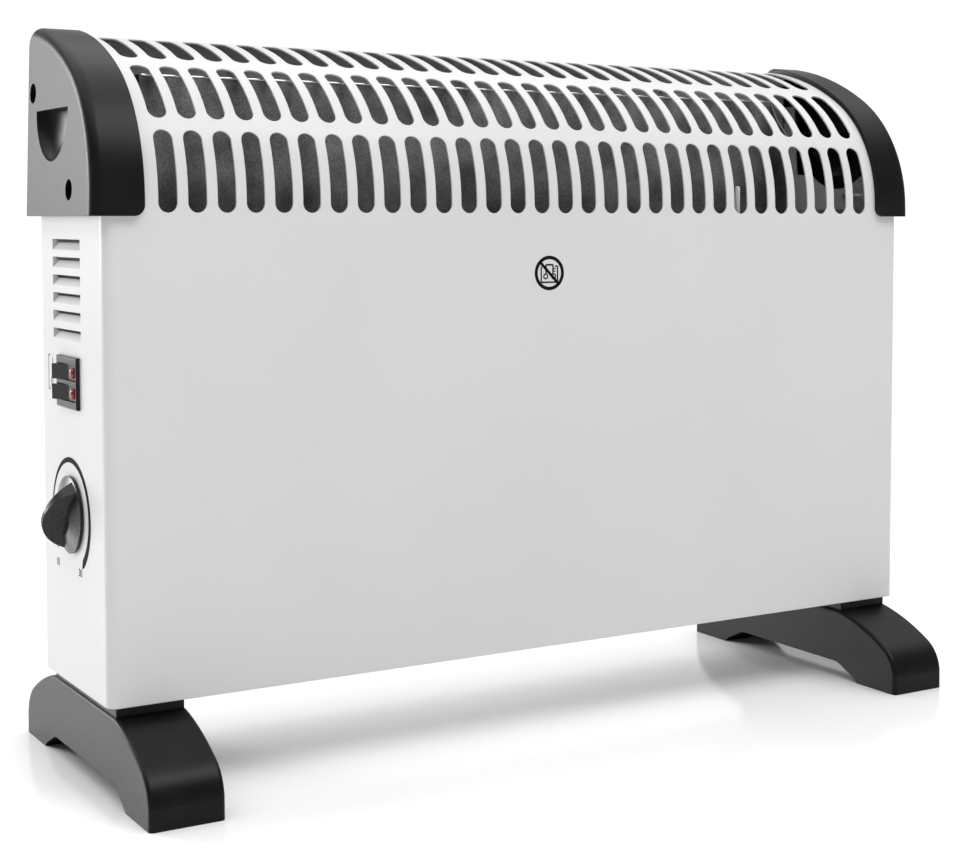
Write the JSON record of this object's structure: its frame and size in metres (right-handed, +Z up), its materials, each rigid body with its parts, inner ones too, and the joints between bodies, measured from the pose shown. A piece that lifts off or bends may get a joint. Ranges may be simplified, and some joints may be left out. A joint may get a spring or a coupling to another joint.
{
  "type": "fan convector heater",
  "caption": "Free-standing electric convector heater: folded steel case with curved slotted grille, moulded end caps and feet, side rocker switches and thermostat knob.",
  "frame": {"origin": "bottom centre of the whole heater, on the floor, knob included", "axes": "+Z up, front panel faces -Y, +X to the right of someone facing the front, so the controls are on the -X side"},
  "size_m": [0.5415, 0.2, 0.3912],
  "materials": {
    "aluminium": "die cast",
    "bakelite": "moulded",
    "black_plastic": "fine spark-eroded texture",
    "block_plastic": "moulded",
    "brass": "plain",
    "case_white": "gloss powder coat",
    "ceramic": "steatite",
    "fuse_metal": "plain",
    "galvanised": "galvanised",
    "impeller_plastic": "moulded",
    "knob_black": "satin",
    "lamination": "stacked",
    "lens_red": "clear red",
    "mica": "pressed mica",
    "resistance_wire": "oxidised",
    "screw_steel": "zinc plated",
    "switch_black": "semi-gloss",
    "winding": "varnished, taped"
  },
  "bodies": {
    "heater": {"front_shell": "case_white", "back_panel": "case_white", "bottom_plate": "case_white", "back_screws": "screw_steel", "left_end_cap": "black_plastic", "right_end_cap": "black_plastic", "left_wing_bracket": "galvanised", "right_wing_bracket": "galvanised", "cap_screws": "screw_steel", "left_foot": "black_plastic", "right_foot": "black_plastic", "foot_screws": "screw_steel", "switch_housing": "switch_black", "switch_terminals": "brass", "thermostat_body": "bakelite", "thermostat_nut": "screw_steel", "front_heat_shield": "galvanised", "rear_heat_shield": "galvanised", "shield_straps": "galvanised", "left_coil_plate": "galvanised", "right_coil_plate": "galvanised", "mica_combs": "mica", "ceramic_bushes": "ceramic", "heating_coil_front": "resistance_wire", "heating_coil_rear": "resistance_wire", "coil_terminals": "brass", "overheat_cutout": "bakelite", "thermal_fuse": "fuse_metal", "fan_frame": "galvanised", "fan_motor_core": "lamination", "fan_motor_coil": "winding", "fan_bearings": "brass", "fan_motor_yoke": "galvanised", "cable_gland": "black_plastic", "terminal_block": "block_plastic", "terminal_bracket": "galvanised"},
    "thermostat_knob": {"thermostat_knob": "knob_black", "thermostat_shaft": "brass"},
    "rocker_upper": {"rocker_upper": "switch_black", "lens_upper": "lens_red"},
    "rocker_lower": {"rocker_lower": "switch_black", "lens_lower": "lens_red"},
    "fan": {"fan_impeller": "impeller_plastic", "fan_shaft": "screw_steel", "fan_rotor": "aluminium"}
  },
  "joints": [
    {"name": "thermostat_turn", "type": "hinge", "parent": "heater", "child": "thermostat_knob", "pos_m": [-0.26525, 0.002, 0.138], "axis": [1, 0, 0], "range_deg": [-157, 106]},
    {"name": "rocker_upper_press", "type": "hinge", "parent": "heater", "child": "rocker_upper", "pos_m": [-0.25215, 0.00285, 0.2117], "axis": [0, 0, 1], "range_deg": [-21, 0]},
    {"name": "rocker_lower_press", "type": "hinge", "parent": "heater", "child": "rocker_lower", "pos_m": [-0.25215, 0.00285, 0.2011], "axis": [0, 0, 1], "range_deg": [-21, 0]},
    {"name": "fan_spin", "type": "hinge", "parent": "heater", "child": "fan", "pos_m": [0.09925, 0, 0.075], "axis": [0, 0, 1], "continuous": true}
  ]
}
